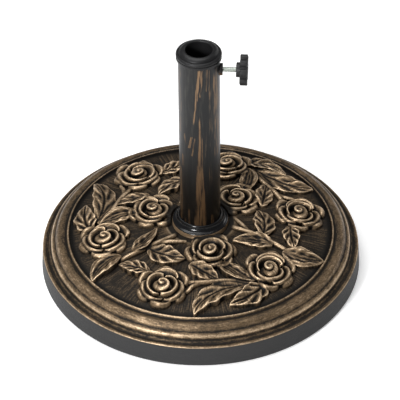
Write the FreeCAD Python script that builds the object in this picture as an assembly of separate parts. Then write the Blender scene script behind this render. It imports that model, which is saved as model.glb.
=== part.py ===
import FreeCAD, Part
import math
import os

# A free-standing parasol base: a round stone-filled resin casting with roses in
# relief, a steel tube bolted into its middle, a plastic insert in the tube's mouth
# and a clamping screw with a star knob. Millimetres. The origin is on the ground
# on the tube's axis, +Z is up and the clamping screw points along +X.

# casting
disc_radius = 200.0
ground_gap = 1.5            # the casting's underside stands this far off the ground
side_top_radius = 198.3
side_top = 27.0
rim_groove_radius = 191.8
rim_groove_height = 29.7
bead_radius = 185.2
bead_height = 37.6
torus_outer_radius = 181.4
torus_inner_radius = 169.0
torus_height = 46.0
torus_foot = 41.4
panel_radius = 163.2
panel_foot = 46.6
seat_radius = 36.5          # flat seat round the tube, under the collar
seat_height = 60.0
dome_swell = 2.2            # how far the panel bulges above a straight cone

# relief on the panel, repeated three times round the disc
sector_count = 3
sector_start = 46.4         # bearing of the first inner rose, in degrees
rose_height = 13.0
petal_height = 10.0
leaf_height = 5.5
stem_height = 4.5
stem_width = 4.6
rose_radius = 31.0
rose_places = [(62.0, 0.0), (126.0, -33.7), (123.0, 31.2)]      # radius, bearing
petal_count = 5
relief_floor = 30.0         # blanks for the relief start inside the casting, at this height
relief_reach = 60.0         # and run up this far before they are cut to the skin
# each leaf: radius and bearing of its base, the same for its tip, width, bow
leaves = [
    (128.0, 11.0, 158.0, -15.0, 22.0, -4.6),
    (134.0, 20.0, 152.0, 2.0, 24.0, 0.0),
    (84.0, -22.0, 112.0, -2.0, 18.0, 0.0),
    (84.0, 6.5, 124.0, 19.0, 20.0, 0.0),
    (119.0, -69.5, 160.0, -65.5, 23.0, 0.0),
    (113.0, -47.0, 125.0, -64.0, 17.0, 0.0),
    (100.0, -70.6, 57.0, -86.0, 18.0, 4.0),
    (81.0, -63.0, 74.0, -28.0, 22.0, 0.0),
]
stems = [
    [(115.0, -22.0), (113.0, -12.0), (113.0, -2.0), (116.0, 6.0), (126.0, 14.0)],
    [(113.0, -14.0), (124.0, -18.0), (134.0, -22.0)],
    [(117.0, -67.7), (94.0, -66.0), (75.0, -64.0), (60.0, -62.0), (44.0, -60.0)],
    [(60.0, -62.0), (52.0, -48.0), (46.0, -37.0)],
]

# tube and the bolt that holds it down
tube_radius = 25.0
tube_wall = 1.5
tube_top = 315.0
socket_clearance = 0.3
ledge_top = 28.0            # the tube stands on this ledge inside the casting
ledge_bottom = 14.0
recess_radius = 19.0
end_plate_thickness = 3.0
bolt_radius = 4.0
bolt_length = 30.0
bolt_play = 0.06
bolt_clearance = 0.5
bolt_head_height = 5.3
nut_across_flats = 13.0
nut_height = 6.5
washer_radius = 15.0
washer_height = 2.0
spring_washer_radius = 7.0
spring_washer_height = 2.0

# insert in the tube's mouth
pole_radius = 16.25
insert_top = 325.0
insert_bottom = 268.0
insert_wall = 2.0
insert_play = 0.1
insert_flange_radius = 27.4
insert_skirt_bottom = 313.0
insert_bead = 8.0           # the sleeve's top band, which centres the insert in the tube
rib_count = 8
rib_thickness = 2.0
screw_window_radius = 4.5

# clamping screw
screw_height = 297.0
screw_radius = 3.0
screw_play = 0.05
screw_tip = 17.2
weld_nut_face = 28.4
knob_hub_face = 44.4
knob_face = 58.0
knob_hub_radius = 9.0
knob_body_radius = 15.0
knob_body_start = 49.0
lobe_count = 8
lobe_radius = 4.7
lobe_centre = 14.3
knob_cap_radius = 9.0
knob_cap_thickness = 1.6
knob_cap_proud = 0.6
knob_screw_depth = 4.0      # the rod stops this far below the knob's face
knob_chamfer = 1.2
rod_chamfer = 0.8
tube_hole_play = 0.6
spring_washer_slit = 0.8
spring_washer_slant = 25.0

# collar round the tube's foot
collar_radius = 35.0
collar_top = 75.0
collar_skirt_top = 67.0
collar_shoulder_radius = 28.0
collar_shoulder = 73.0
collar_play = 0.35
collar_wall = 2.5

# feet
foot_count = 4
foot_radius = 13.0
foot_thickness = 4.0
foot_circle = 150.0
foot_play = 0.2

UP = FreeCAD.Vector(0, 0, 1)
ORIGIN = FreeCAD.Vector(0, 0, 0)


def at(x, y, z=0.0):
    return FreeCAD.Vector(x, y, z)


def polar(radius, bearing, z=0.0):
    angle = math.radians(bearing)
    return at(radius * math.cos(angle), radius * math.sin(angle), z)


def cylinder(radius, low, high):
    return Part.makeCylinder(radius, high - low, at(0, 0, low))


def ring(inner, outer, low, high):
    return cylinder(outer, low, high).cut(cylinder(inner, low - 1, high + 1))


def outline(points):
    """Edges through (r, z) points; a point marked with a third value is an arc's middle."""
    edges = []
    start = points[0]
    index = 1
    while index < len(points):
        point = points[index]
        if len(point) == 3:
            end = points[index + 1]
            arc = Part.Arc(at(start[0], 0, start[1]), at(point[0], 0, point[1]), at(end[0], 0, end[1]))
            edges.append(arc.toShape())
            index += 2
        else:
            end = point
            edges.append(Part.makeLine(at(start[0], 0, start[1]), at(end[0], 0, end[1])))
            index += 1
        start = end
    return edges


def turned(points):
    """Solid of revolution about Z from a closed (r, z) outline."""
    wire = Part.Wire(outline(points + [points[0][:2]]))
    return Part.Face(wire).revolve(ORIGIN, UP, 360)


def hexagon(across_flats, low, high):
    corner = across_flats / math.sqrt(3)
    points = [polar(corner, 60 * i, low) for i in range(7)]
    return Part.Face(Part.makePolygon(points)).extrude(UP * (high - low))


def along_x(shape):
    """Turns a shape made along +Z to lie along +X at the screw's height."""
    turned_shape = shape.copy()
    turned_shape.rotate(ORIGIN, at(0, 1, 0), 90)
    turned_shape.translate(at(0, 0, screw_height))
    return turned_shape


def spread(shape, count, step, start=0.0):
    copies = []
    for i in range(count):
        copy = shape.copy()
        copy.rotate(ORIGIN, UP, start + i * step)
        copies.append(copy)
    return copies


def fused(shapes):
    return shapes[0].multiFuse(shapes[1:]).removeSplitter()


def panel_points(lift, outer):
    """The panel's top line from the seat out to the rim, as an arc raised by lift."""
    middle_radius = (outer + seat_radius) / 2
    middle_height = (panel_foot + seat_height) / 2 + dome_swell
    seat = (seat_radius, seat_height + lift)
    return seat, (middle_radius, middle_height + lift, "arc"), (outer, panel_foot + lift)


def raised_panel(lift):
    """Everything between the panel's underside and a skin that is lift above it."""
    seat, middle, edge = panel_points(lift, panel_radius)
    return turned([(0.0, relief_floor), (edge[0], relief_floor), edge, middle, seat, (0.0, seat[1])])


def leaf_blank(leaf):
    """Pointed leaf outline between two arcs, as a tall prism."""
    base_radius, base_bearing, tip_radius, tip_bearing, width, bow = leaf
    base = polar(base_radius, base_bearing, relief_floor)
    tip = polar(tip_radius, tip_bearing, relief_floor)
    run = (tip - base).normalize()
    side = at(-run.y, run.x)
    middle = (base + tip) * 0.5 + side * bow
    left = Part.Arc(base, middle + side * (width / 2), tip).toShape()
    right = Part.Arc(tip, middle - side * (width / 2), base).toShape()
    return Part.Face(Part.Wire([left, right])).extrude(UP * relief_reach)


def stem_blank(points):
    """Straight runs with round joints, as tall prisms."""
    blanks = []
    places = [polar(radius, bearing, relief_floor) for radius, bearing in points]
    for start, end in zip(places, places[1:]):
        run = end - start
        bar = Part.makeBox(run.Length, stem_width, relief_reach, at(0, -stem_width / 2))
        bar.rotate(ORIGIN, UP, math.degrees(math.atan2(run.y, run.x)))
        bar.translate(start)
        blanks.append(bar)
    for place in places[1:]:
        blanks.append(Part.makeCylinder(stem_width / 2, relief_reach, place))
    return fused(blanks)


def petals(place, distance, radius, turn):
    """A round of petals about a rose's middle, as tall prisms; lengths are shares of the rose's radius."""
    centre = polar(place[0], place[1], relief_floor)
    step = 360 / petal_count
    blanks = [Part.makeCylinder(radius * rose_radius, relief_reach, centre)]
    for i in range(petal_count):
        middle = centre + polar(distance * rose_radius, turn + i * step)
        blanks.append(Part.makeCylinder(radius * rose_radius, relief_reach, middle))
    return fused(blanks)


def relief():
    """One sector of roses, leaves and stems, repeated round the panel."""
    skins = {lift: raised_panel(lift) for lift in (leaf_height, stem_height, petal_height, rose_height)}
    pieces = [leaf_blank(leaf).common(skins[leaf_height]) for leaf in leaves]
    pieces += [stem_blank(stem).common(skins[stem_height]) for stem in stems]
    for place in rose_places:
        outer = petals(place, 0.55, 0.45, place[1])
        inner = petals(place, 0.3, 0.3, place[1] + 180 / petal_count)
        bud = Part.makeCylinder(rose_radius * 0.26, relief_reach, polar(place[0], place[1], relief_floor))
        pieces.append(outer.common(skins[leaf_height]))
        pieces.append(inner.common(skins[petal_height]))
        pieces.append(bud.common(skins[rose_height]))
    sector = fused(pieces)
    return spread(sector, sector_count, 360 / sector_count, sector_start)


def make_base_casting():
    seat, middle, edge = panel_points(0.0, panel_radius)
    rim = [
        (bolt_radius + bolt_clearance, ledge_bottom),
        (recess_radius, ledge_bottom),
        (recess_radius, ground_gap),
        (disc_radius - 1.0, ground_gap),
        (disc_radius, ground_gap + 1.0),
        (side_top_radius, side_top),
        (side_top_radius - 0.6, side_top + 1.6, "arc"),
        (side_top_radius - 2.2, side_top + 2.4),
        (rim_groove_radius, rim_groove_height - 1.0, "arc"),
        (bead_radius + 2.2, bead_height - 4.0),
        (bead_radius - 0.2, bead_height + 0.4, "arc"),
        (torus_outer_radius + 1.0, bead_height + 2.2),
        (torus_outer_radius, torus_foot),
        ((torus_outer_radius + torus_inner_radius) / 2, torus_height, "arc"),
        (torus_inner_radius, torus_height - 0.5),
        (panel_radius + 4.6, torus_height - 0.3),
        (panel_radius + 2.2, panel_foot + 2.0, "arc"),
        edge,
        middle,
        seat,
        (tube_radius + socket_clearance, seat_height),
        (tube_radius + socket_clearance, ledge_top),
        (bolt_radius + bolt_clearance, ledge_top),
    ]
    socket = cylinder(tube_radius + socket_clearance, ledge_top, seat_height + 20)
    flat_seat = cylinder(seat_radius, seat_height, seat_height + 20)
    sectors = [piece.cut(flat_seat).cut(socket) for piece in relief()]
    casting = turned(rim).multiFuse(sectors)
    pocket = Part.makeCylinder(foot_radius + foot_play, foot_thickness, at(foot_circle, 0, 0))
    for hollow in spread(pocket, foot_count, 360 / foot_count, 45):
        casting = casting.cut(hollow)
    return casting


def screw_passage(radius, reach):
    return along_x(cylinder(radius, 0, reach))


def make_base_tube():
    tube = ring(tube_radius - tube_wall, tube_radius, ledge_top, tube_top)
    return tube.cut(screw_passage(screw_radius + tube_hole_play, tube_radius + 5))


def make_tube_end_plate():
    return ring(bolt_radius + bolt_play, tube_radius - tube_wall, ledge_top, ledge_top + end_plate_thickness)


def make_end_plate_nut():
    low = ledge_top + end_plate_thickness
    nut = hexagon(nut_across_flats, low, low + nut_height)
    return nut.cut(cylinder(bolt_radius + bolt_play, low - 1, low + nut_height + 1))


def make_large_washer():
    return ring(bolt_radius + bolt_play, washer_radius, ledge_bottom - washer_height, ledge_bottom)


def make_spring_washer():
    top = ledge_bottom - washer_height
    washer = ring(bolt_radius + bolt_play, spring_washer_radius, top - spring_washer_height, top)
    slit = spring_washer_slit
    split = Part.makeBox(spring_washer_radius + 1, slit, 10, at(0, -slit / 2, top - 6))
    split.rotate(at(spring_washer_radius, 0, top - 1), at(1, 0, 0), spring_washer_slant)
    return washer.cut(split)


def make_fixing_bolt():
    top = ledge_bottom - washer_height - spring_washer_height
    head = hexagon(nut_across_flats, top - bolt_head_height, top)
    return head.fuse(cylinder(bolt_radius, top, top + bolt_length)).removeSplitter()


def make_pole_insert():
    outer = pole_radius + insert_wall
    fit = tube_radius - tube_wall - insert_play
    flange = insert_flange_radius
    cap = turned([
        (pole_radius, insert_top - 0.8),
        (pole_radius + 0.25, insert_top - 0.2, "arc"),
        (pole_radius + 0.9, insert_top),
        (pole_radius + 4.2, insert_top - 0.8, "arc"),
        (pole_radius + 6.9, insert_top - 3.0),
        (pole_radius + 7.4, insert_top - 3.5),
        (pole_radius + 8.2, insert_top - 3.6),
        (flange - 0.6, insert_top - 5.0, "arc"),
        (flange, insert_top - 7.4),
        (flange - 0.8, insert_top - 8.2),
        (flange - 0.1, insert_top - 9.0),
        (flange - 0.1, insert_skirt_bottom + 0.4),
        (flange - 0.5, insert_skirt_bottom),
        (tube_radius + 0.2, insert_skirt_bottom),
        (tube_radius + 0.2, tube_top),
        (fit, tube_top),
        (fit, tube_top - insert_bead),
        (fit - insert_wall, tube_top - insert_bead),
        (fit - insert_wall, tube_top),
        (outer, tube_top),
        (pole_radius, tube_top),
    ])
    sleeve = ring(pole_radius, outer, insert_bottom, tube_top)
    rib = Part.makeBox(fit - outer + 0.6, rib_thickness, tube_top - insert_bottom,
                       at(outer - 0.5, -rib_thickness / 2, insert_bottom))
    bore = cylinder(fit, insert_bottom - 1, tube_top)
    ribs = [blade.common(bore) for blade in spread(rib, rib_count, 360 / rib_count, 180 / rib_count)]
    insert = fused([cap, sleeve] + ribs)
    return insert.cut(screw_passage(screw_window_radius, tube_radius))


def make_screw_nut():
    nut = along_x(hexagon(nut_across_flats, tube_radius - 3, weld_nut_face))
    nut = nut.cut(cylinder(tube_radius, screw_height - 20, screw_height + 20))
    return nut.cut(screw_passage(screw_radius, weld_nut_face + 1))


def make_screw_rod():
    radius = screw_radius - screw_play
    rod = Part.makeCylinder(radius, knob_face - knob_screw_depth - screw_tip, at(0, 0, screw_tip))
    tip = [edge for edge in rod.Edges if abs(edge.BoundBox.ZMax - screw_tip) < 0.01]
    rod = rod.makeChamfer(rod_chamfer, tip)
    return along_x(rod)


def make_knob():
    hub = turned([
        (0.0, knob_hub_face),
        (knob_hub_radius - 0.6, knob_hub_face),
        (knob_hub_radius, knob_hub_face + 0.6),
        (knob_hub_radius + 1.2, knob_body_start + 1.0),
        (0.0, knob_body_start + 1.0),
    ])
    body = cylinder(knob_body_radius, knob_body_start, knob_face)
    lobe = Part.makeCylinder(lobe_radius, knob_face - knob_body_start, at(lobe_centre, 0, knob_body_start))
    star = fused([body] + spread(lobe, lobe_count, 360 / lobe_count, 180 / lobe_count))
    rims = [edge for edge in star.Edges if edge.BoundBox.ZLength < 0.01]
    star = star.makeChamfer(knob_chamfer, rims)
    knob = fused([hub, star])
    cap_seat = knob_face - knob_cap_thickness + knob_cap_proud
    knob = knob.cut(cylinder(screw_radius, knob_hub_face - 1, knob_face - knob_screw_depth))
    knob = knob.cut(cylinder(knob_cap_radius + 0.1, cap_seat, knob_face + 1))
    return along_x(knob)


def make_knob_cap():
    top = knob_face + knob_cap_proud
    cap = cylinder(knob_cap_radius, top - knob_cap_thickness, top)
    cap = cap.makeFillet(0.8, [edge for edge in cap.Edges if abs(edge.BoundBox.ZMin - top) < 0.01])
    return along_x(cap)


def make_collar():
    inner = tube_radius + collar_play
    return turned([
        (inner, collar_shoulder - 3.0),
        (inner, collar_top - 0.4),
        (inner + 0.4, collar_top),
        (inner + 1.2, collar_top - 0.5),
        (collar_shoulder_radius, collar_shoulder),
        (collar_radius - 1.6, collar_skirt_top + 0.5),
        (collar_radius - 0.4, collar_skirt_top - 0.4, "arc"),
        (collar_radius, collar_skirt_top - 1.8),
        (collar_radius, seat_height),
        (collar_radius - collar_wall, seat_height),
        (collar_radius - collar_wall, collar_skirt_top - collar_wall),
        (collar_shoulder_radius, collar_shoulder - 3.0),
    ])


def make_foot():
    foot = Part.makeCylinder(foot_radius, foot_thickness, at(foot_circle, 0, 0))
    rim = [edge for edge in foot.Edges if edge.BoundBox.ZMax < 0.01]
    return foot.makeChamfer(0.6, rim)


makers = {
    "base_casting": make_base_casting,
    "base_tube": make_base_tube,
    "tube_end_plate": make_tube_end_plate,
    "end_plate_nut": make_end_plate_nut,
    "fixing_bolt": make_fixing_bolt,
    "spring_washer": make_spring_washer,
    "large_washer": make_large_washer,
    "pole_insert": make_pole_insert,
    "screw_nut": make_screw_nut,
    "screw_rod": make_screw_rod,
    "knob": make_knob,
    "knob_cap": make_knob_cap,
    "collar": make_collar,
}

os.makedirs("parts", exist_ok=True)
shapes = {name: make() for name, make in makers.items()}
for number, foot in enumerate(spread(make_foot(), foot_count, 360 / foot_count, 45), 1):
    shapes[f"foot_{number}"] = foot
for name, shape in shapes.items():
    shape.exportStep(f"parts/{name}.step")
    print(name, "solids", len(shape.Solids), "valid", shape.isValid(), "cm3", round(shape.Volume / 1000, 2))
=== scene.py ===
import math
import bmesh
import bpy
import numpy as np
from mathutils import Matrix, Vector, noise


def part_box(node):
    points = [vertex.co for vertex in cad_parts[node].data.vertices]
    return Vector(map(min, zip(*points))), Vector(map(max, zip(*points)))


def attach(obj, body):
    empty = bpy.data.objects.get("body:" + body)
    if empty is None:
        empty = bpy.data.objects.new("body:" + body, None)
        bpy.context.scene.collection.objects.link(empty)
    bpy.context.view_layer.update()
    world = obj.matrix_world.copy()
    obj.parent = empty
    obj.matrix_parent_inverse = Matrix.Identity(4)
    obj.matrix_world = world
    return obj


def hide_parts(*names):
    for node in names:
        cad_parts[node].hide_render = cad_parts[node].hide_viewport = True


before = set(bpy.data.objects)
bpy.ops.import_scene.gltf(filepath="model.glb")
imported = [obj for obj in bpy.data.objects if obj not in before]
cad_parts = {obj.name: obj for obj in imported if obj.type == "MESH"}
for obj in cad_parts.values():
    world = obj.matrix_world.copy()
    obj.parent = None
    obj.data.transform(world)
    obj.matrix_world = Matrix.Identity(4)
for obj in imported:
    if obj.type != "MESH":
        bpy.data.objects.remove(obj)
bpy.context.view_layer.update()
mm = 0.001
fullTurn = 2 * math.pi
screwHeight = (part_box("screw_rod")[0][2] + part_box("screw_rod")[1][2]) / 2 / mm
print("frame loaded:", len(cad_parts), "CAD nodes")

studio = {
    "bearing": 4.4,          # degrees round from the front, towards the knob
    "elevation": 39.3,
    "distance": 2.97,
    "lookAt": (-0.0002, 0.0, 0.0951),
    "lens": 215.6,
    "sensor": 36,
    "roll": -0.55,
    "floorSize": 6.0,
    "world": 0.08,           # how bright the sky is overhead
    "horizon": 0.45,         # and how much brighter round the horizon
    "skyFade": 0.22,         # how high the pale part reaches
    "floorGlow": 0.4,
}


def makeCamera():
    across = math.radians(studio["bearing"])
    up = math.radians(studio["elevation"])
    back = Vector((math.sin(across) * math.cos(up), -math.cos(across) * math.cos(up), math.sin(up)))
    camera = bpy.data.objects.new("camera", bpy.data.cameras.new("camera"))
    camera.data.lens = studio["lens"]
    camera.data.sensor_width = studio["sensor"]
    camera.data.clip_end = 50
    spin = Matrix.Rotation(math.radians(studio["roll"]), 4, "Z")
    camera.matrix_world = (Matrix.Translation(Vector(studio["lookAt"]) + back * studio["distance"])
                           @ back.to_track_quat("Z", "Y").to_matrix().to_4x4() @ spin)
    bpy.context.scene.collection.objects.link(camera)
    bpy.context.scene.camera = camera


lamps = {
    # place, what it points at, size and watts
    "ceilingLight": ((-0.35, 0.2, 2.2), (0, 0, 0), (1.6, 1.6), 36),
    "keyLight": ((-0.7, -1.45, 1.05), (0, -0.1, 0.05), (0.35, 0.35), 28),
    "backLight": ((1.1, 1.3, 1.0), (0, 0, 0.1), (0.6, 0.5), 3),
}


def makeSoftbox(name, place, target, size, power):
    lamp = bpy.data.lights.new(name, "AREA")
    lamp.shape = "RECTANGLE"
    lamp.size, lamp.size_y = size
    lamp.energy = power
    holder = bpy.data.objects.new(name, lamp)
    holder.location = place
    holder.rotation_euler = (Vector(place) - Vector(target)).to_track_quat("Z", "Y").to_euler()
    bpy.context.scene.collection.objects.link(holder)


def makeSky():        # pale round the horizon, dim overhead
    world = bpy.data.worlds.new("studio")
    world.use_nodes = True
    sky = world.node_tree
    split = sky.nodes.new("ShaderNodeSeparateXYZ")
    sky.links.new(sky.nodes.new("ShaderNodeTexCoord").outputs["Generated"], split.inputs[0])
    overhead = Wire(sky, split.outputs["Z"]).step(0.0, studio["skyFade"])
    backdrop = sky.nodes["Background"]
    backdrop.inputs["Color"].default_value = (1, 1, 1, 1)
    plug(sky, backdrop.inputs["Strength"], (1 - overhead) * studio["horizon"] + studio["world"])
    bpy.context.scene.world = world
    bpy.context.scene.view_settings.view_transform = "Standard"


def makeStudio():
    bm = bmesh.new()
    bmesh.ops.create_grid(bm, x_segments=1, y_segments=1, size=studio["floorSize"] / 2)
    mesh = bpy.data.meshes.new("floor")
    bm.to_mesh(mesh)
    bm.free()
    floor = bpy.data.objects.new("floor", mesh)
    bpy.context.scene.collection.objects.link(floor)
    finish = Finish("paleFloor")
    finish.shade(color=(0.9, 0.9, 0.9, 1), roughness=0.9)
    finish.shader.inputs["Emission Color"].default_value = (1, 1, 1, 1)
    finish.shader.inputs["Emission Strength"].default_value = studio["floorGlow"]
    mesh.materials.append(finish.material)
    makeSky()
    for name, lamp in lamps.items():
        makeSoftbox(name, *lamp)


# wraps a socket, so that Python maths on it adds Math nodes
class Wire:
    def __init__(self, tree, socket):
        self.tree = tree
        self.socket = socket

    def maths(self, operation, *others):
        node = self.tree.nodes.new("ShaderNodeMath")
        node.operation = operation
        for slot, value in zip(node.inputs, (self,) + others):
            plug(self.tree, slot, value)
        return Wire(self.tree, node.outputs[0])

    def __add__(self, other):
        return self.maths("ADD", other)

    def __mul__(self, other):
        return self.maths("MULTIPLY", other)

    def __sub__(self, other):
        return self.maths("SUBTRACT", other)

    def __rsub__(self, other):
        return self.maths("MULTIPLY", -1) + other

    def __truediv__(self, other):
        return self.maths("DIVIDE", other)

    def __pow__(self, other):
        return self.maths("POWER", other)

    __radd__ = __add__
    __rmul__ = __mul__

    def least(self, other):
        return self.maths("MINIMUM", other)

    def most(self, other):
        return self.maths("MAXIMUM", other)

    def held(self):        # kept from 0 to 1
        return self.most(0).least(1)

    def step(self, low, high):        # smooth step from low to high
        share = ((self - low) / (high - low)).held()
        return share * share * (3 - 2 * share)


def plug(tree, slot, value):
    if isinstance(value, Wire):
        tree.links.new(value.socket, slot)
    else:
        slot.default_value = value


class Finish:
    def __init__(self, name):
        self.material = bpy.data.materials.new(name)
        self.material.use_nodes = True
        self.tree = self.material.node_tree
        self.shader = self.tree.nodes["Principled BSDF"]

    # any node: its type, its settings, then its inputs by name or number
    def node(self, kind, settings=None, inputs=None, output=0):
        made = self.tree.nodes.new("ShaderNode" + kind)
        for name, value in (settings or {}).items():
            if name == "stops":
                ramp = made.color_ramp
                while len(ramp.elements) < len(value):
                    ramp.elements.new(0.5)
                for element, (place, color) in zip(ramp.elements, value):
                    element.position = place
                    element.color = color
            else:
                setattr(made, name, value)
        for name, value in (inputs or {}).items():
            plug(self.tree, made.inputs[name], value)
        return Wire(self.tree, made.outputs[output])

    def spot(self):        # object coordinates, in metres
        return self.node("TexCoord", output="Object")

    def axes(self, spot):
        return [self.node("SeparateXYZ", inputs={0: spot}, output=axis) for axis in "XYZ"]

    def vector(self, x, y, z):
        return self.node("CombineXYZ", inputs={0: x, 1: y, 2: z})

    def noise(self, where, scale, detail=3.0, roughness=0.55, distortion=0.0):
        return self.node("TexNoise", inputs={"Vector": where, "Scale": scale, "Detail": detail,
                                             "Roughness": roughness, "Distortion": distortion})

    def mix(self, share, first, second):
        return self.node("Mix", {"data_type": "RGBA"}, {0: share, 6: first, 7: second}, output=2)

    def bump(self, height, strength, distance):
        return self.node("Bump", inputs={"Height": height, "Strength": strength, "Distance": distance})

    def attribute(self, name):
        return self.node("Attribute", {"attribute_name": name}, output="Fac")

    def shade(self, color, roughness, metallic=0.0, normal=None, coat=0.0, coatRoughness=0.1, specular=0.5):
        plug(self.tree, self.shader.inputs["Base Color"], color)
        plug(self.tree, self.shader.inputs["Roughness"], roughness)
        plug(self.tree, self.shader.inputs["Metallic"], metallic)
        plug(self.tree, self.shader.inputs["Coat Weight"], coat)
        self.shader.inputs["Coat Roughness"].default_value = coatRoughness
        self.shader.inputs["Specular IOR Level"].default_value = specular
        if normal is not None:
            plug(self.tree, self.shader.inputs["Normal"], normal)
        return self.material


makeCamera()
makeStudio()
print("studio ready")

bronze = {
    # the dark wash in the hollows, deepened by painted shade
    "recess": (0.0045, 0.0038, 0.0032, 1),
    "body": (0.0150, 0.0125, 0.0100, 1),
    "rubbed": (0.190, 0.130, 0.076, 1),
    # painted highlight: a pale bronze laid on the lips where the light catches them
    "paintedHighlightColor": (0.700, 0.520, 0.340, 1),
    "side": (0.0370, 0.0368, 0.0372, 1),        # the plain side wall
    "edge": (0.0272, 0.0285),                   # where the side wall ends, by height
    "rim": (0.164, 0.168),                      # where the rim starts, by radius
    "seat": (0.041, 0.047),                     # where the dark seat under the collar ends, by radius
}


def makeCastingFinish():
    finish = Finish("bronzedResin")
    spot = finish.spot()
    x, y, z = finish.axes(spot)
    wear = finish.attribute("wear")
    lift = finish.attribute("lift")
    depth = finish.attribute("depth")
    bearing = y.maths("ARCTAN2", x)
    radius = (x * x + y * y) ** 0.5
    grain = finish.noise(spot, 480, detail=4)
    blotch = finish.noise(spot, 38, detail=3)
    around = finish.noise(finish.vector(bearing * 24, radius * 460, z * 460), 1.0, detail=6, roughness=0.7)
    outward = finish.noise(finish.vector(bearing * 70, radius * 26, 0.0), 1.0, detail=4)
    onRim = radius.step(*bronze["rim"])
    onTop = z.step(*bronze["edge"])
    above = onTop * radius.step(*bronze["seat"])
    brush = around * onRim + outward * (1 - onRim)
    mottle = (brush - 0.5) * 1.7 + (grain - 0.5) * 0.9 + (blotch - 0.5) * 0.7
    proud = wear * (0.6 - onRim * 0.25) + depth * (0.85 - onRim * 0.35) + lift * 0.5
    rub = (proud + mottle + onRim * 0.2 + 0.07).step(-0.05, 0.95) * above
    # painted highlight on the proudest lips and edges
    paintedHighlight = (wear * 0.45 + depth * 0.6 + lift * 0.2 + mottle * 0.8).step(0.45, 1.15) * above
    # darker in the creases and hollows: partly the paint's dark wash, partly painted shade
    washAndShade = (wear * -2.0 - depth * 1.1 - 0.1).held() * above * (1 - onRim * 0.8)
    raised = finish.mix(paintedHighlight, finish.mix(rub, bronze["body"], bronze["rubbed"]), bronze["paintedHighlightColor"])
    color = finish.mix(onTop, bronze["side"], finish.mix(washAndShade, raised, bronze["recess"]))
    roughness = 0.52 + (grain - 0.5) * 0.3 - rub * 0.16
    normal = finish.bump(grain * 0.5 + brush, 0.45, 0.0009)
    return finish.shade(color, roughness, metallic=rub * 0.55, normal=normal, specular=0.1)


steelPaint = {
    "fade": (0.1, 0.27),                        # heights between which the painted shade at the foot gives way to the lighter top
    "shadedFootBlack": (0.0035, 0.0030, 0.0026, 1),
    "litTopBlack": (0.0130, 0.0132, 0.0138, 1),
    "haze": (0.085, 0.080, 0.066, 1),
    "shadedFootBronze": (0.098, 0.056, 0.027, 1),
    "litTopBronze": (0.225, 0.142, 0.082, 1),
}

# dry brush strokes on the tube
strokes = [
    # bearing, lean in degrees per 100 mm, lowest, highest, half width at both in degrees, strength
    (-86, 1, 58, 185, 25, 8, 1.15),
    (-87, 2, 120, 252, 7, 2.0, 1.4),
    (-76, -2, 95, 225, 4, 1.5, 0.9),
    (-104, 21, 226, 322, 2.5, 4, 1.1),
    (-94, 18, 262, 318, 3, 5, 1.2),
    (-84, 14, 268, 318, 2.5, 4.5, 1.1),
    (-66, 10, 276, 318, 2, 6, 0.8),
    (-56, 6, 262, 318, 2, 7, 0.75),
    (-117, 45, 192, 214, 5, 4, 1.1),
    (-108, 28, 180, 214, 2.5, 3, 1.0),
    (-126, -40, 196, 216, 3, 5, 0.9),
    (-62, 3, 100, 318, 18, 14, 0.45),
    (-30, 0, 165, 322, 14, 16, 0.95),
    (-150, 0, 200, 322, 10, 10, 0.7),
    (-140, 0, 160, 182, 8, 6, 0.9),
    (-122, 12, 58, 104, 7, 3, 1.0),
    (-134, 4, 58, 84, 6, 3, 1.0),
    (-48, -8, 58, 92, 9, 4, 1.1),
    (30, 6, 60, 200, 24, 8, 1.0),
    (75, -6, 100, 300, 10, 14, 0.9),
    (120, 8, 60, 240, 18, 6, 1.0),
    (165, -5, 130, 310, 8, 16, 0.9),
    (200, 10, 60, 170, 20, 6, 1.0),
]


def makeTubeFinish():
    finish = Finish("bronzedSteel")
    x, y, z = finish.axes(finish.spot())
    bearing = y.maths("ARCTAN2", x)
    sway = finish.noise(finish.vector(x * 40, y * 40, z * 20), 1.0, detail=3) - 0.5
    height = z / mm
    bristle = finish.noise(finish.vector(x * 560, y * 560, z * 34), 1.0, detail=4, roughness=0.6)
    breaks = finish.noise(finish.vector(x * 120, y * 120, z * 30), 1.0, detail=4)
    painted = None
    for middle, lean, low, high, wide, narrow, strength in strokes:
        share = (height - low) / (high - low)
        off = bearing * (180 / math.pi) - middle - (height - low) * (lean / 100) + sway * 12
        off = (off + 540).maths("WRAP", 360, 0) - 180
        width = share * (narrow - wide) + wide
        body = 1 - (off.maths("ABSOLUTE") / width.most(1.5)).held()
        ends = share.step(0.0, 0.12) * (1 - share.step(0.82, 1.0))
        stroke = body.step(0.0, 0.4) * ends * strength
        painted = stroke if painted is None else painted.most(stroke)
    rough = (bristle - 0.5) * 3.0 * (painted * 0.8 + 0.3)
    rub = (painted + rough + (breaks - 0.5) * 1.4 - 0.35).step(0.15, 1.1)
    # painted shade: the black, the bronze and the haze all turn darker towards the tube's foot and lighter
    # towards its top
    high = z.step(*steelPaint["fade"])
    haze = ((bristle - 0.5) * 2.6 + (breaks - 0.5) * 1.2 + 0.15).step(0.0, 0.9) * high * 0.35
    black = finish.mix(high, steelPaint["shadedFootBlack"], steelPaint["litTopBlack"])
    bronzed = finish.mix(high, steelPaint["shadedFootBronze"], steelPaint["litTopBronze"])
    color = finish.mix(rub, finish.mix(haze, black, steelPaint["haze"]), bronzed)
    normal = finish.bump(bristle, 0.12, 0.0003)
    return finish.shade(color, 0.32 + rub * 0.16, metallic=rub * 0.5, normal=normal, specular=0.22)


collarPaint = {
    "rim": (0.0335, 0.0346),        # where the brushed edge starts, by radius
    "rimTop": (0.066, 0.0672),      # and where it ends, by height
    "black": (0.007, 0.007, 0.0075, 1),
    "brushed": (0.40, 0.27, 0.155, 1),
}


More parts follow.
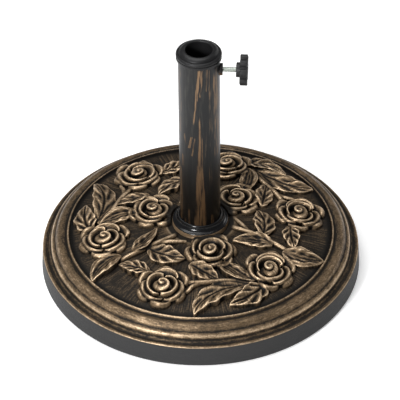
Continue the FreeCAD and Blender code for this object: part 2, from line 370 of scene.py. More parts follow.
def makeCollarFinish():
    finish = Finish("glossCollar")
    spot = finish.spot()
    x, y, z = finish.axes(spot)
    radius = (x * x + y * y) ** 0.5
    grain = finish.noise(spot, 260, detail=4)
    around = finish.noise(finish.vector(x * 40, y * 40, z * 400), 1.0, detail=4)
    rim = radius.step(*collarPaint["rim"]) * (1 - z.step(*collarPaint["rimTop"]))
    rub = (rim + (around - 0.5) * 1.6 + (grain - 0.5) * 0.8 - 0.3).step(0.1, 0.7) * rim
    color = finish.mix(rub, collarPaint["black"], collarPaint["brushed"])
    normal = finish.bump(grain, 0.05, 0.0003)
    return finish.shade(color, 0.2 + rub * 0.2, metallic=rub * 0.6, normal=normal, specular=0.35)


def makeNutFinish():        # more bronze towards its underside
    finish = Finish("paintedNut")
    spot = finish.spot()
    z = finish.axes(spot)[2]
    grain = finish.noise(spot, 520, detail=4)
    rub = (grain * 1.6 + (screwHeight * mm - z) * 60 - 0.75).step(0.1, 0.7)
    color = finish.mix(rub, (0.012, 0.011, 0.011, 1), (0.34, 0.20, 0.11, 1))
    return finish.shade(color, 0.3 + rub * 0.15, metallic=rub * 0.5, normal=finish.bump(grain, 0.3, 0.0005))


def makePlasticFinish(name, color, roughness, graininess, specular):
    finish = Finish(name)
    spot = finish.spot()
    grain = finish.noise(spot, 1500, detail=2)
    cloud = finish.noise(spot, 60, detail=3)
    tone = finish.mix(cloud, color, [channel * 1.35 for channel in color[:3]] + [1])
    normal = finish.bump(grain, graininess, 0.0003)
    return finish.shade(tone, roughness + (cloud - 0.5) * 0.16, normal=normal, specular=specular)


def makeZincFinish():
    finish = Finish("zincSteel")
    spot = finish.spot()
    cloud = finish.noise(spot, 240, detail=4)
    color = finish.mix(cloud, (0.30, 0.33, 0.30, 1), (0.52, 0.56, 0.51, 1))
    return finish.shade(color, 0.3 + cloud * 0.16, metallic=0.9, normal=finish.bump(cloud, 0.1, 0.0003))


castingFinish = makeCastingFinish()
tubeFinish = makeTubeFinish()
plasticFinish = makePlasticFinish("blackPlastic", (0.010, 0.010, 0.0105, 1), 0.48, 0.12, 0.3)
satinFinish = makePlasticFinish("satinPlastic", (0.009, 0.009, 0.0095, 1), 0.4, 0.05, 0.28)
rubberFinish = makePlasticFinish("footRubber", (0.016, 0.016, 0.016, 1), 0.8, 0.35, 0.4)
zincFinish = makeZincFinish()
collarFinish = makeCollarFinish()
nutFinish = makeNutFinish()
print("finishes ready")


def pick(values, *names):
    return [values[name] for name in names]


def turned(degrees):
    return Matrix.Rotation(math.radians(degrees), 3, "Z")


# points along a shallow arc that bulges to the left of its run, without the first
def bow(start, end, bulge, count=8):
    run = Vector(end) - Vector(start)
    side = Vector((-run.y, run.x)).normalized() * bulge
    shares = [(i + 1) / count for i in range(count)]
    return [tuple(Vector(start) + run * t + side * (4 * t * (1 - t))) for t in shares]


# turns an outline round Z; a point is a radius and a height in millimetres
def lathe(points, steps):
    bm = bmesh.new()
    ring = [bm.verts.new((r * mm, 0, z * mm)) for r, z in points]
    edges = [bm.edges.new(pair) for pair in zip(ring, ring[1:] + ring[:1])]
    bmesh.ops.spin(bm, geom=ring + edges, cent=(0, 0, 0), axis=(0, 0, 1), angle=fullTurn, steps=steps,
                   use_merge=True)
    return bm


def slab(radius, low, high, steps=48):        # a plain closed disc along Z, in millimetres
    bm = bmesh.new()
    bmesh.ops.create_cone(bm, cap_ends=True, segments=steps, radius1=radius * mm, radius2=radius * mm,
                          depth=(high - low) * mm)
    bmesh.ops.translate(bm, verts=bm.verts, vec=(0, 0, (low + high) / 2 * mm))
    return bm


def alongScrew(bm):        # from along Z to along the clamping screw
    bmesh.ops.rotate(bm, verts=bm.verts, cent=(0, 0, 0), matrix=Matrix.Rotation(math.pi / 2, 3, "Y"))
    bmesh.ops.translate(bm, verts=bm.verts, vec=(0, 0, screwHeight * mm))
    return bm


def hold(bm):
    mesh = bpy.data.meshes.new("blank")
    bm.to_mesh(mesh)
    bm.free()
    holder = bpy.data.objects.new("blank", mesh)
    bpy.context.scene.collection.objects.link(holder)
    return holder


def evaluated(holder):
    graph = bpy.context.evaluated_depsgraph_get()
    finished = holder.evaluated_get(graph)
    return bpy.data.meshes.new_from_object(finished, preserve_all_data_layers=True, depsgraph=graph)


def carve(bm, cutters):        # cuts closed shapes out of a closed one
    bmesh.ops.remove_doubles(bm, verts=bm.verts, dist=1e-6)
    bmesh.ops.recalc_face_normals(bm, faces=bm.faces)
    holders = [hold(bm)] + [hold(cutter) for cutter in cutters]
    for holder in holders[1:]:
        cut = holders[0].modifiers.new("cut", "BOOLEAN")
        cut.operation = "DIFFERENCE"
        cut.solver = "EXACT"
        cut.object = holder
    carved = bmesh.new()
    carved.from_mesh(evaluated(holders[0]))
    for holder in holders:
        bpy.data.objects.remove(holder)
    return carved


# bevels the edges that turn by more than sharpest degrees
def roundOff(bm, width, sharpest=30, segments=3):
    edges = [edge for edge in bm.edges
             if len(edge.link_faces) == 2 and edge.calc_face_angle() > math.radians(sharpest)]
    bmesh.ops.bevel(bm, geom=edges, offset=width * mm, segments=segments, profile=0.5, affect="EDGES",
                    material=-1, clamp_overlap=True)


def hexBar(acrossFlats, low, high, chamfer=0.35):        # a hexagon along Z with its edges broken
    bm = bmesh.new()
    corner = acrossFlats / math.sqrt(3)
    bmesh.ops.create_cone(bm, cap_ends=True, segments=6, radius1=corner * mm, radius2=corner * mm,
                          depth=(high - low) * mm)
    bmesh.ops.translate(bm, verts=bm.verts, vec=(0, 0, (low + high) / 2 * mm))
    roundOff(bm, chamfer, segments=2)
    return bm


def makePiece(name, bm, finish, body, nodes=(), sharp=35):
    bmesh.ops.remove_doubles(bm, verts=bm.verts, dist=1e-6)
    bare = [edge for edge in bm.edges if not edge.link_faces]        # left on the axis of a turned piece
    bmesh.ops.delete(bm, geom=bare, context="EDGES")
    bmesh.ops.recalc_face_normals(bm, faces=bm.faces)
    mesh = bpy.data.meshes.new(name)
    bm.to_mesh(mesh)
    bm.free()
    return addPiece(name, mesh, finish, body, nodes, sharp)


def addPiece(name, mesh, finish, body, nodes=(), sharp=35):
    mesh.shade_smooth()
    mesh.set_sharp_from_angle(angle=math.radians(sharp))
    mesh.materials.clear()
    mesh.materials.append(finish)
    piece = bpy.data.objects.new(name, mesh)
    bpy.context.scene.collection.objects.link(piece)
    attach(piece, body)
    if nodes:
        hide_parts(*nodes)
    return piece


# how far each vertex stands proud of its smoothed surroundings, for the brushed bronze, the painted shade in
# the hollows and the painted highlight on the lips
def markWearAndPaintedLight(mesh, rounds, reach, deepRounds, deepReach, lifts, facing=0.0):
    count = len(mesh.vertices)
    points = np.zeros(count * 3)
    mesh.vertices.foreach_get("co", points)
    points = points.reshape(-1, 3)
    normals = np.zeros(count * 3)
    mesh.vertices.foreach_get("normal", normals)
    pairs = np.zeros(len(mesh.edges) * 2, int)
    mesh.edges.foreach_get("vertices", pairs)
    a, b = pairs.reshape(-1, 2).T
    shared = np.bincount(a, minlength=count) + np.bincount(b, minlength=count)
    soft = points.copy()
    stages = {}
    for i in range(1, max(rounds, deepRounds) + 1):
        total = np.stack([np.bincount(a, soft[b, k], count) + np.bincount(b, soft[a, k], count)
                          for k in range(3)], axis=1)
        soft = total / shared[:, None]
        if i in (rounds, deepRounds):
            stages[i] = ((points - soft) * normals.reshape(-1, 3)).sum(axis=1)
    upward = normals.reshape(-1, 3)[:, 2] - 0.75        # steep walls take less bronze, as a dry brush misses them, and get painted shade
    wear = np.clip(stages[rounds] / reach + facing * upward, -1.5, 1.5)
    # the broader measure: for the bronze, for painted shade in the larger hollows and for the painted
    # highlight
    depth = np.clip(stages[deepRounds] / deepReach, -1.5, 1.5)
    for name, values in (("wear", wear), ("depth", depth), ("lift", lifts(points))):
        made = mesh.attributes.new(name, "FLOAT", "POINT")
        made.data.foreach_set("value", values.astype(np.float32))


disc = {
    "radius": 200.0,
    "underside": 1.5,
    "sideTop": (198.3, 26.8),
    "edge": (196.0, 29.1),
    "grooveOuter": (194.2, 28.9),
    "grooveInner": (189.6, 30.6),
    "beadFoot": (187.6, 33.0),
    "beadTop": (183.4, 39.4),
    "torusFoot": (181.6, 41.0),
    "torusEnd": (169.4, 45.6),
    "innerBead": (167.6, 46.0),
    "panelEdge": (163.2, 46.6),
    "panelRise": 2.2,
    "seat": (36.5, 60.0),
    "collarRoom": 36.7,      # no relief nearer to the tube than this
    "socket": 25.3,
    "ledge": (14.0, 28.0),
    "recess": 19.0,
    "boltHole": 4.5,
    "corner": 1.2,           # rounds the lowest edge
    "feet": 4,
    "footPocket": 13.2,
    "footCircle": 150.0,
    "footBearing": 45.0,
    "panelRings": 60,
    "steps": 240,
}


def panelHeight(radius):        # the panel's top, in millimetres
    seat, edge = disc["seat"], disc["panelEdge"]
    share = (radius - seat[0]) / (edge[0] - seat[0])
    return seat[1] + (edge[1] - seat[1]) * share + 4 * disc["panelRise"] * share * (1 - share)


foot = {
    "radius": 13.0,
    "thickness": 4.0,
    "grooves": (4.0, 7.0, 10.0),
    "grooveDepth": 0.6,
}


def footSpot(number):        # where a foot stands, in metres
    return turned(disc["footBearing"] + 360 / disc["feet"] * number) @ Vector((disc["footCircle"] * mm, 0, 0))


def makeDisc():
    low, high = disc["ledge"]
    under, wall, corner = pick(disc, "underside", "radius", "corner")
    points = [(disc["boltHole"], low), (disc["recess"], low), (disc["recess"], under), (wall - corner, under)]
    points += bow((wall - corner, under), (wall, under + corner), -0.25, 3)
    points += bow((wall, under + corner), disc["sideTop"], 0.0, 10)
    points += bow(disc["sideTop"], disc["edge"], -0.75, 6)
    points += bow(disc["edge"], disc["grooveOuter"], -0.15, 3)
    points += bow(disc["grooveOuter"], disc["grooveInner"], 0.9, 6)
    points += bow(disc["grooveInner"], disc["beadFoot"], 0.4, 3)
    points += bow(disc["beadFoot"], disc["beadTop"], -1.6, 8)
    points += bow(disc["beadTop"], disc["torusFoot"], 0.3, 3)
    points += bow(disc["torusFoot"], disc["torusEnd"], -3.2, 16)
    points += bow(disc["torusEnd"], disc["innerBead"], 0.3, 3)
    points += bow(disc["innerBead"], disc["panelEdge"], -2.2, 8)
    rings = disc["panelRings"]
    span = disc["panelEdge"][0] - disc["seat"][0]
    radii = [disc["panelEdge"][0] - span * (i + 1) / rings for i in range(rings)]
    points += [(radius, panelHeight(radius)) for radius in radii]
    points += [(disc["socket"], disc["seat"][1]), (disc["socket"], high), (disc["boltHole"], high)]
    pockets = [slab(disc["footPocket"], -4, foot["thickness"], 64) for i in range(disc["feet"])]
    for number, pocket in enumerate(pockets):
        bmesh.ops.translate(pocket, verts=pocket.verts, vec=footSpot(number))
    bm = carve(lathe(points, disc["steps"]), pockets)
    piece = makePiece("castingDisc", bm, castingFinish, "stand", ["base_casting"], sharp=50)
    markWearAndPaintedLight(piece.data, 6, 0.0005, 16, 0.0015, lambda points: points[:, 2] * 0)


makeDisc()
print("disc ready")

rose = {
    "places": [(62.0, 0.0), (126.0, -33.7), (123.0, 31.2)],        # radius, bearing
    "turns": [20, 95, 215],
    "petals": [
        # from the heart outwards: bearing, half spread, foot, lip, low, high, drop at the ends, wall
        (20, 88, 11.4, 19.2, 1.5, 10.4, 0.45, 3.6),
        (197, 82, 11.4, 20.8, 1.5, 9.6, 0.55, 3.6),
        (120, 60, 16.8, 26.8, 0.0, 8.8, 0.7, 4.0),
        (243, 56, 16.8, 27.8, 0.0, 8.4, 0.7, 4.0),
        (2, 58, 16.8, 28.2, 0.0, 8.0, 0.7, 4.0),
        (62, 33, 20.5, 33.2, -1.0, 7.0, 0.85, 4.8),
        (118, 27, 20.5, 32.2, -1.0, 6.4, 0.85, 4.8),
        (178, 34, 20.5, 33.2, -1.0, 7.0, 0.85, 4.8),
        (236, 28, 20.5, 32.6, -1.0, 6.4, 0.85, 4.8),
        (298, 33, 20.5, 33.2, -1.0, 7.0, 0.85, 4.8),
        (358, 28, 20.5, 32.6, -1.0, 6.4, 0.85, 4.8),
    ],
    "skew": 0.24,            # one end of a petal lies further out than the other
    "tilt": 0.15,             # and higher
    "crest": 0.76,           # how far out a petal is at its highest
    "roll": 2.6,             # how far its lip turns down
    "heart": (10.4, 9.2, 8.2),
    "heartLift": 4.2,
    "scroll": 0.19,
    "waver": 1.5,            # unevenness of the petals
}

leaf = {
    # three (radius, bearing) points from foot to tip, width, curl of the edge, twist, side veins, long ribs
    "places": [
        ([(129, 15), (133, -6), (162, -15)], 29, 1.5, 2.2, 1.2, 0.5),
        ([(135, 22), (145, 14), (151, 1)], 27, 1.2, -1.8, 1.3, 0.0),
        ([(83, -22), (96, -10), (113, -1)], 22, 1.4, 2.4, 0.9, 0.4),
        ([(82, 6), (104, 11), (127, 19)], 23, 1.4, -2.2, 0.4, 1.2),
        ([(115, -70), (140, -70), (165, -65.5)], 28, 0.8, 2.6, 0.5, 1.2),
        ([(112, -46), (116, -56), (126, -65)], 21, 1.0, 1.6, 1.3, 0.0),
        ([(100, -70), (80, -72), (56, -87)], 21, 1.4, -2.0, 0.6, 1.0),
        ([(82, -63), (80, -46), (74, -27)], 27, 1.4, 2.2, 1.3, 0.3),
    ],
    "top": 5.4,
    "arch": 3.0,
    "veins": 3.8,
    "wall": 8.0,
    "groove": 2.6,           # depth of the middle vein
    "waver": 2.2,
}

stem = {
    # points: radius, bearing, height of the top, half thickness
    "routes": [
        [(113, -24, 2, 3.2), (113, -15, 3.6, 3.2), (112, -4, 4.4, 3.2), (115, 6, 4.6, 3.0), (121, 12, 4, 2.8),
         (129, 16, 3, 2.4)],
        [(112, -12, 2.6, 3.0), (117, -17, 3.8, 2.8), (127, -19, 3.4, 2.4), (135, -23, 1.2, 1.8)],
        [(122, -68, 2, 2.6), (106, -67, 3.8, 3.2), (88, -65.5, 4.6, 3.4), (72, -64, 4.6, 3.2),
         (58, -62, 4.2, 3.0), (40, -60, 2.4, 3.2)],
        [(66, -63, 3, 2.6), (58, -58, 4.0, 2.8), (50, -48, 3.6, 2.6), (43, -36, 1.6, 2.2)],
    ],
}

relief = {
    "sectors": 3,
    "start": 46.4,           # bearing of the first inner rose, in degrees
    "voxel": 0.7,
    "smoothing": 3,
    "crumb": 500,            # loose bits with fewer points are dropped
    "triangles": 190000,     # in each sector
    "wear": (12, 0.0006),    # rounds of smoothing, and the height in metres that counts as fully proud
    "depth": (50, 0.0018),
    "facing": 1.1,           # how much darker the steep walls are: less dry-brushed bronze, and painted shade
    "fullLift": 10,          # height above the panel that counts as highest
}


def polar(radius, bearing):
    angle = math.radians(bearing + relief["start"])
    return Vector((radius * math.cos(angle), radius * math.sin(angle), 0))


def shapedGrid(bm, columns, rows, shape):
    made = bmesh.ops.create_grid(bm, x_segments=columns, y_segments=rows, size=1)
    for vert in made["verts"]:
        vert.co = Vector(shape(vert.co.x, (vert.co.y + 1) / 2))


def mergeInto(bm, part):
    mesh = bpy.data.meshes.new("part")
    part.to_mesh(mesh)
    part.free()
    bm.from_mesh(mesh)
    bpy.data.meshes.remove(mesh)


def addPetal(bm, centre, turn, petal):
    bearing, spread, foot, lip, low, high, drop, wall = petal
    reach = math.radians(spread)
    crest = rose["crest"]

    def shape(u, v):
        fade = 1 - drop * (1 - math.sqrt(1 - 0.98 * u * u))
        ripple = 0.04 * math.sin(2.6 * u + bearing) * v
        radius = foot + (lip - foot) * v * (fade + ripple + rose["skew"] * u)
        climb = math.sin(min(1.0, v / crest) * math.pi / 2) ** 1.3
        roll = rose["roll"] * max(0.0, (v - crest) / (1 - crest)) ** 2
        height = low + (high - low) * climb * (1 - 0.5 * drop * abs(u) ** 3 + rose["tilt"] * u) - roll
        height += rose["waver"] * noise.noise(Vector((u * 1.6, v * 1.2, bearing + turn)))
        return radius * math.cos(reach * u), -radius * math.sin(reach * u), height

    part = bmesh.new()
    shapedGrid(part, 20, 12, shape)
    bmesh.ops.solidify(part, geom=part.faces, thickness=wall)
    bmesh.ops.rotate(part, verts=part.verts, cent=(0, 0, 0), matrix=turned(bearing + turn))
    bmesh.ops.translate(part, verts=part.verts, vec=centre)
    mergeInto(bm, part)


def addHeart(bm, centre, turn):
    part = bmesh.new()
    bmesh.ops.create_uvsphere(part, u_segments=64, v_segments=48, radius=1)
    for vert in part.verts:        # a scroll pressed into the bud
        flat = math.hypot(vert.co.x, vert.co.y)
        scroll = math.cos(math.atan2(vert.co.y, vert.co.x) + flat * 8.5)
        vert.co *= 1 + rose["scroll"] * scroll * min(1.0, flat * 2.2)
    bmesh.ops.scale(part, verts=part.verts, vec=rose["heart"])
    bmesh.ops.rotate(part, verts=part.verts, cent=(0, 0, 0), matrix=turned(turn))
    bmesh.ops.translate(part, verts=part.verts, vec=centre + Vector((0, 0, rose["heartLift"])))
    mergeInto(bm, part)


def addLeaf(bm, points, width, edge, twist, veins, ribs):
    foot, middle, tip = [polar(radius, bearing) for radius, bearing in points]
    bend = middle * 2 - (foot + tip) / 2        # the curve passes through the middle point

    def shape(u, v):
        across, along = 2 * v - 1, (u + 1) / 2
        spot = foot * (1 - along) ** 2 + bend * 2 * along * (1 - along) + tip * along ** 2
        run = (bend - foot) * (1 - along) + (tip - bend) * along
        side = Vector((-run.y, run.x, 0)).normalized()
        half = width / 2 * (math.sin(math.pi * along ** 0.85) ** 0.8 * 0.96 + 0.04)
        chevron = math.cos(fullTurn * (leaf["veins"] * along - abs(across) * 1.15))
        half *= 1 + 0.07 * chevron * (veins > 0.8) + 0.12 * noise.noise(Vector((along * 4, across, width)))
        ends = math.sin(math.pi * along) ** 0.5
        height = leaf["top"] + leaf["arch"] * (ends - 0.6) + edge * abs(across) ** 2.5 * ends
        height += veins * chevron * ends * min(1.0, abs(across) * 2.5) * (1 - abs(across) ** 5)
        height += ribs * 0.9 * math.cos(fullTurn * 1.5 * across) * ends * (1 - abs(across) ** 5)
        height -= leaf["groove"] * math.exp(-(across / 0.12) ** 2) * ends
        height += leaf["waver"] * noise.noise(Vector((along * 3.2, across * 1.3, width * 7.3))) * ends
        height += twist * across * ends
        place = spot + side * half * across
        return place.x, place.y, height

    part = bmesh.new()
    shapedGrid(part, 48, 26, shape)
    bmesh.ops.solidify(part, geom=part.faces, thickness=leaf["wall"])
    mergeInto(bm, part)


def addStem(bm, route):
    curve = bpy.data.curves.new("stem", "CURVE")
    curve.dimensions = "3D"
    curve.bevel_depth = 1.0
    curve.bevel_resolution = 4
    curve.use_fill_caps = True
    spline = curve.splines.new("NURBS")
    spline.points.add(len(route) - 1)
    for point, (radius, bearing, height, thickness) in zip(spline.points, route):
        point.co = (*(polar(radius, bearing) + Vector((0, 0, height - thickness * 0.3))), 1)
        point.radius = thickness
    spline.order_u = 3
    spline.use_endpoint_u = True
    spline.resolution_u = 8
    holder = bpy.data.objects.new("stem", curve)
    mesh = bpy.data.meshes.new_from_object(holder)
    bm.from_mesh(mesh)
    bpy.data.meshes.remove(mesh)
    bpy.data.objects.remove(holder)
    bpy.data.curves.remove(curve)


def drape(bm):        # from heights above the panel to places on the disc, in metres, clear of the collar
    for vert in bm.verts:
        radius = math.hypot(vert.co.x, vert.co.y)
        clear = max(radius, disc["collarRoom"])
        spread = clear / max(radius, 1)
        height = vert.co.z + panelHeight(clear)
        vert.co = Vector((vert.co.x * spread, vert.co.y * spread, height)) * mm


def liftAbovePanel(points):
    radius = np.hypot(points[:, 0], points[:, 1]) / mm
    return np.clip((points[:, 2] / mm - panelHeight(radius)) / relief["fullLift"], 0, 1)


def dropCrumbs(mesh):        # takes out loose bits that the fusing leaves
    bm = bmesh.new()
    bm.from_mesh(mesh)
    unseen = set(bm.verts)
    while unseen:
        island = [unseen.pop()]
        for vert in island:
            fresh = [edge.other_vert(vert) for edge in vert.link_edges if edge.other_vert(vert) in unseen]
            unseen.difference_update(fresh)
            island += fresh
        if len(island) < relief["crumb"]:
            bmesh.ops.delete(bm, geom=island, context="VERTS")
    bm.to_mesh(mesh)
    bm.free()


def fuseSkin(bm):        # one closed skin over all the overlapping parts
    holder = hold(bm)
    fuse = holder.modifiers.new("fuse", "REMESH")
    fuse.mode = "VOXEL"
    fuse.voxel_size = relief["voxel"] * mm
    soften = holder.modifiers.new("soften", "SMOOTH")
    soften.factor = 0.5
    soften.iterations = relief["smoothing"]
    skin = evaluated(holder)
    bpy.data.objects.remove(holder)
    dropCrumbs(skin)
    return skin


def thinSkin(skin):        # fewer triangles where it is flat
    holder = bpy.data.objects.new("blank", skin)
    bpy.context.scene.collection.objects.link(holder)
    thin = holder.modifiers.new("thin", "DECIMATE")
    thin.ratio = relief["triangles"] / (2 * len(skin.polygons))
    thin.use_collapse_triangulate = True
    light = evaluated(holder)
    bpy.data.objects.remove(holder)
    return light


def makeRelief():
    bm = bmesh.new()
    for place, turn in zip(rose["places"], rose["turns"]):
        centre = polar(*place)
        for petal in rose["petals"]:
            addPetal(bm, centre, turn, petal)
        addHeart(bm, centre, turn)
    for place in leaf["places"]:
        addLeaf(bm, *place)
    for route in stem["routes"]:
        addStem(bm, route)
    drape(bm)
    skin = fuseSkin(bm)
    markWearAndPaintedLight(skin, *relief["wear"], *relief["depth"], liftAbovePanel, relief["facing"])
    skin = thinSkin(skin)
    for number in range(relief["sectors"]):
        mesh = skin.copy()
        mesh.transform(turned(360 / relief["sectors"] * number).to_4x4())
        addPiece(f"castingRelief{number + 1}", mesh, castingFinish, "stand", sharp=80)
    print("relief faces", len(skin.polygons))


makeRelief()
print("relief ready")

tube = {
    "radius": 25.0,
    "bore": 23.5,
    "foot": 28.0,
    "top": 315.0,
    "screwHole": 3.6,
}


def makeTube():
    outer, inner, low, high = pick(tube, "radius", "bore", "foot", "top")
    points = [(outer, low + 0.3)]
    points += [(outer, low + (high - low - 0.6) * i / 12) for i in range(1, 12)]
    points += [(outer, high - 0.3), (outer - 0.3, high), (inner + 0.3, high), (inner, high - 0.3),
               (inner, low + 0.3), (inner + 0.3, low), (outer - 0.3, low)]
    bm = carve(lathe(points, 96), [alongScrew(slab(tube["screwHole"], 15, 40))])
    makePiece("baseTube", bm, tubeFinish, "stand", ["base_tube"])


insert = {
    "bore": 16.25,
    "wall": 2.0,
    "bottom": 268.0,
    "top": 325.0,
    "seat": 315.0,
    "fit": 23.4,             # runs inside the tube's mouth
    "band": 8.0,
    "ribs": 8,
    "ribThickness": 2.0,
    "window": 4.5,           # where the clamping screw comes through
}


def makeInsert():
    bore, wall, bottom, top, seat, fit = pick(insert, "bore", "wall", "bottom", "top", "seat", "fit")
    outer = bore + wall
    points = [(bore, bottom + 0.3), (bore, seat), (bore, top - 1.6)]
    points += bow((bore, top - 1.6), (bore + 1.4, top), 0.42, 5)
    points += bow((bore + 1.4, top), (bore + 7.4, top - 3.2), 0.75, 9)
    points += bow((bore + 7.4, top - 3.2), (bore + 7.6, top - 4.1), 0.1, 3)
    points += bow((bore + 7.6, top - 4.1), (bore + 8.3, top - 4.0), -0.1, 3)
    points += bow((bore + 8.3, top - 4.0), (27.4, top - 7.0), 1.2, 9)
    points += bow((27.4, top - 7.0), (26.2, top - 8.1), 0.25, 4)
    points += bow((26.2, top - 8.1), (27.3, top - 9.0), -0.15, 3)
    points += [(27.3, top - 11.4)] + bow((27.3, top - 11.4), (26.8, top - 12), 0.12, 3)
    band = seat - insert["band"]
    points += [(25.2, top - 12), (25.2, seat), (fit, seat), (fit, band + 0.3), (fit - 0.3, band),
               (fit - wall, band), (fit - wall, seat), (outer, seat), (outer, bottom + 0.3),
               (outer - 0.3, bottom), (bore + 0.3, bottom)]
    bm = lathe(points, 96)
    for number in range(insert["ribs"]):
        rib = bmesh.new()
        bmesh.ops.create_cube(rib, size=1)
        depth, height = fit - outer + 0.4, seat - bottom - 0.4
        bmesh.ops.scale(rib, verts=rib.verts, vec=(depth * mm, insert["ribThickness"] * mm, height * mm))
        roundOff(rib, 0.3, segments=2)
        middle = Vector(((outer + fit - 0.4) / 2, 0, seat - 0.2 - height / 2))
        bmesh.ops.translate(rib, verts=rib.verts, vec=middle * mm)
        bearing = 360 * (number + 0.5) / insert["ribs"]
        bmesh.ops.rotate(rib, verts=rib.verts, cent=(0, 0, 0), matrix=turned(bearing))
        mergeInto(bm, rib)
    bm = carve(bm, [alongScrew(slab(insert["window"], 10, 25))])
    makePiece("poleInsert", bm, satinFinish, "stand", ["pole_insert"])


screw = {
    "radius": 2.95,
    "core": 2.6,
    "tip": 17.2,
    "end": 54.0,
    "pitch": 1.0,
    "threadSteps": 20,
    "nutFlats": 13.0,
    "nutFace": 28.4,
    "nutBore": 3.0,
}


def makeScrew():
    low, high, core = pick(screw, "tip", "end", "core")
    rod = lathe([(0, low), (core - 0.5, low), (core, low + 0.5), (core, high - 0.2), (core - 0.2, high),
                 (0, high)], 48)
    turns = high - low - 2.4
    thread = bmesh.new()
    corners = [(core - 0.1, -0.49), (screw["radius"], -0.26), (screw["radius"], 0.26), (core - 0.1, 0.49)]
    ring = [thread.verts.new((r * mm, 0, (low + 1 + z) * mm)) for r, z in corners]
    face = thread.faces.new(ring)
    steps = int(turns * screw["threadSteps"])
    bmesh.ops.spin(thread, geom=[face] + list(face.edges) + ring, cent=(0, 0, 0), axis=(0, 0, 1),
                   dvec=(0, 0, screw["pitch"] * mm * turns / steps), angle=fullTurn * turns, steps=steps)
    mergeInto(rod, thread)
    makePiece("screwRod", alongScrew(rod), zincFinish, "screw", ["screw_rod"])
    reach = (screwHeight - 20, screwHeight + 20)        # the stretch of tube that the nut sits on
    bore = alongScrew(slab(screw["nutBore"], 10, 40))
    nut = alongScrew(hexBar(screw["nutFlats"], 22, screw["nutFace"]))
    nut = carve(nut, [bore, slab(tube["radius"], *reach, 96)])
    weld = lathe(bow((8.4, 22.5), (6.6, 26.2), 0.5, 6) + [(5.8, 26.0), (5.8, 22.5)], 48)
    weld = carve(alongScrew(weld), [slab(tube["radius"] - 0.2, *reach, 96)])
    mergeInto(nut, weld)
    makePiece("screwNut", nut, nutFinish, "stand", ["screw_nut"])


knob = {
    "lobes": 8,
    "lobeRadius": 4.7,
    "lobeCentre": 14.3,
    "valley": 15.0,
    "start": 49.0,
    "face": 58.0,
    "hubRadius": 9.0,
    "hubFace": 44.4,
    "rim": 2.6,
    "dish": 1.6,
    "edge": 1.3,
    "screwHole": 2.96,
    "capRadius": 9.0,
    "capTop": 58.6,
}


def knobReach(angle):        # the star's outline: round lobes with rounded valleys between them
    step = fullTurn / knob["lobes"]
    off = (angle + step / 2) % step - step / 2
    across = knob["lobeCentre"] * math.sin(off)
    lobe = knob["lobeCentre"] * math.cos(off) + math.sqrt(max(0.0, knob["lobeRadius"] ** 2 - across ** 2))
    blend = 1 / (1 + math.exp(-(lobe - knob["valley"] - 0.5) * 2.2))
    return knob["valley"] * (1 - blend) + lobe * blend


def makeKnob():
    bm = bmesh.new()
    made = bmesh.ops.create_circle(bm, segments=192, radius=1, cap_ends=True)
    for vert in made["verts"]:
        angle = math.atan2(vert.co.y, vert.co.x)
        reach = knobReach(angle + math.pi / knob["lobes"]) * mm
        vert.co = Vector((math.cos(angle), math.sin(angle), 0)) * reach
    bmesh.ops.translate(bm, verts=bm.verts, vec=(0, 0, knob["start"] * mm))
    lifted = bmesh.ops.extrude_face_region(bm, geom=bm.faces[:])
    top = [item for item in lifted["geom"] if isinstance(item, bmesh.types.BMFace)]
    bmesh.ops.translate(bm, verts=top[0].verts, vec=(0, 0, (knob["face"] - knob["start"]) * mm))
    bmesh.ops.recalc_face_normals(bm, faces=bm.faces)
    edges = [edge for edge in bm.edges if abs(edge.verts[0].co.z - edge.verts[1].co.z) < 1e-7]
    bmesh.ops.bevel(bm, geom=edges, offset=knob["edge"] * mm, segments=5, profile=0.5, affect="EDGES",
                    material=-1, clamp_overlap=True)
    radius, hubFace, start, face = pick(knob, "hubRadius", "hubFace", "start", "face")
    bowl, floor = knob["valley"] - knob["rim"], face - knob["dish"]
    dish = lathe([(0, floor), (bowl - 1.2, floor), (bowl - 0.4, face - knob["dish"] * 0.7), (bowl, face + 1),
                  (0, face + 1)], 96)
    bmesh.ops.recalc_face_normals(dish, faces=dish.faces)
    bm = carve(bm, [dish, slab(knob["screwHole"], hubFace, screw["end"] + 0.05)])
    hub = [(3.0, start + 0.6), (3.0, hubFace + 0.4), (3.4, hubFace)]
    hub += [(radius - 0.9, hubFace)] + bow((radius - 0.9, hubFace), (radius, hubFace + 0.9), -0.25, 5)
    hub += [(radius, start - 0.9)] + bow((radius, start - 0.9), (radius + 1.2, start + 0.6), 0.25, 5)
    mergeInto(bm, lathe(hub, 96))
    makePiece("knobStar", alongScrew(bm), plasticFinish, "knob", ["knob"])
    radius, top = pick(knob, "capRadius", "capTop")
    cap = [(0, top), (radius - 3.0, top - 0.04), (radius - 1.1, top - 0.22)]
    cap += bow((radius - 1.1, top - 0.22), (radius, top - 1.0), 0.18, 5)
    cap += [(radius, top - 2.2), (0, top - 2.2)]
    makePiece("knobCap", alongScrew(lathe(cap, 96)), plasticFinish, "knob", ["knob_cap"])


collar = {
    "radius": 35.0,
    "bore": 25.35,
    "seat": 60.0,
    "skirtTop": 67.0,
    "shoulder": (28.0, 73.0),
    "top": 75.0,
    "wall": 2.5,
}


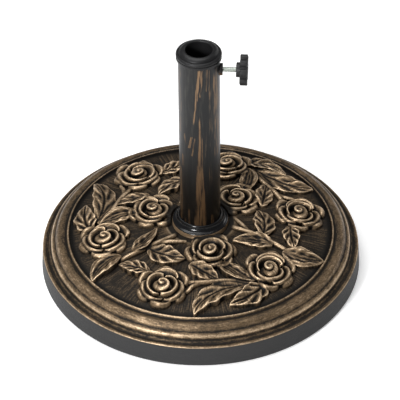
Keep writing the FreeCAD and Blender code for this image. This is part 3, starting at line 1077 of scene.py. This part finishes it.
def makeCollar():
    radius, bore, seat, skirtTop = pick(collar, "radius", "bore", "seat", "skirtTop")
    shoulder, top, wall = pick(collar, "shoulder", "top", "wall")
    points = [(bore, top - 5), (bore, top - 0.5)]
    points += bow((bore, top - 0.5), (bore + 1.3, top - 0.3), 0.3, 5)
    points += bow((bore + 1.3, top - 0.3), shoulder, -0.2, 5)
    points += bow(shoulder, (radius - 2.4, skirtTop + 0.6), -0.9, 10)
    points += bow((radius - 2.4, skirtTop + 0.6), (radius, skirtTop - 1.9), 0.8, 8)
    points += [(radius, seat + 2.6), (radius - 0.15, seat + 2.4), (radius, seat + 2.2), (radius, seat + 0.4),
               (radius - 0.4, seat), (radius - wall, seat), (radius - wall, skirtTop - wall)]
    points += bow((radius - wall, skirtTop - wall), (shoulder[0], shoulder[1] - 3.5), -0.6, 5)
    makePiece("footCollar", lathe(points, 160), collarFinish, "collar", ["collar"])


def makeFeet():
    radius, thick, depth = pick(foot, "radius", "thickness", "grooveDepth")
    points = [(0, 0)]
    for middle in foot["grooves"]:
        points += [(middle - 0.7, 0), (middle - 0.4, depth), (middle + 0.4, depth), (middle + 0.7, 0)]
    points += [(radius - 0.7, 0)] + bow((radius - 0.7, 0), (radius, 0.7), -0.2, 4)
    points += [(radius, thick - 0.3), (radius - 0.3, thick), (0, thick)]
    for number in range(disc["feet"]):
        bm = lathe(points, 64)
        bmesh.ops.translate(bm, verts=bm.verts, vec=footSpot(number))
        node = f"foot_{number + 1}"
        makePiece(f"rubberFoot{number + 1}", bm, rubberFinish, "stand", [node])


bolt = {
    "radius": 4.0,
    "flats": 13.0,
    "headHeight": 5.3,
    "washerTop": 14.0,
    "washerRadius": 15.0,
    "washerHeight": 2.0,
    "springRadius": 7.0,
    "springHeight": 2.0,
    "springTurn": 350,       # degrees of wire, the rest is its slit
    "length": 30.0,
    "play": 0.06,
}


def makeBolt():
    under = bolt["washerTop"] - bolt["washerHeight"] - bolt["springHeight"]        # the head's upper face
    radius, end = bolt["radius"], under + bolt["length"]
    bm = hexBar(bolt["flats"], under - bolt["headHeight"], under)
    mergeInto(bm, lathe([(0, under - 0.2), (radius, under - 0.2), (radius, end - 0.8), (radius - 0.8, end),
                         (0, end)], 64))
    makePiece("fixingBolt", bm, zincFinish, "stand", ["fixing_bolt"])
    hole, outer, top = radius + bolt["play"], bolt["washerRadius"], bolt["washerTop"]
    low = top - bolt["washerHeight"]
    bm = lathe([(hole, low + 0.2), (hole, top - 0.2), (hole + 0.2, top), (outer - 0.2, top),
                (outer, top - 0.2), (outer, low + 0.4), (outer - 0.4, low), (hole + 0.2, low)], 96)
    makePiece("largeWasher", bm, zincFinish, "stand", ["large_washer"])
    bm = bmesh.new()        # an open turn of square wire
    outer, wireBase, crown = bolt["springRadius"], under + 0.02, low - 0.02
    corners = [(hole, wireBase), (outer, wireBase), (outer, crown), (hole, crown)]
    ring = [bm.verts.new((r * mm, 0, z * mm)) for r, z in corners]
    face = bm.faces.new(ring)
    bmesh.ops.spin(bm, geom=[face] + list(face.edges) + ring, cent=(0, 0, 0), axis=(0, 0, 1),
                   angle=math.radians(bolt["springTurn"]), steps=70)
    roundOff(bm, 0.2, segments=2)
    makePiece("springWasher", bm, zincFinish, "stand", ["spring_washer"])


makeTube()
makeInsert()
makeScrew()
makeKnob()
print("tube, insert, screw and knob ready")
makeCollar()
makeFeet()
makeBolt()
for name in ("tube_end_plate", "end_plate_nut"):
    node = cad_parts[name]
    node.data.materials.clear()
    node.data.materials.append(zincFinish)
print("collar, feet and bolt ready")
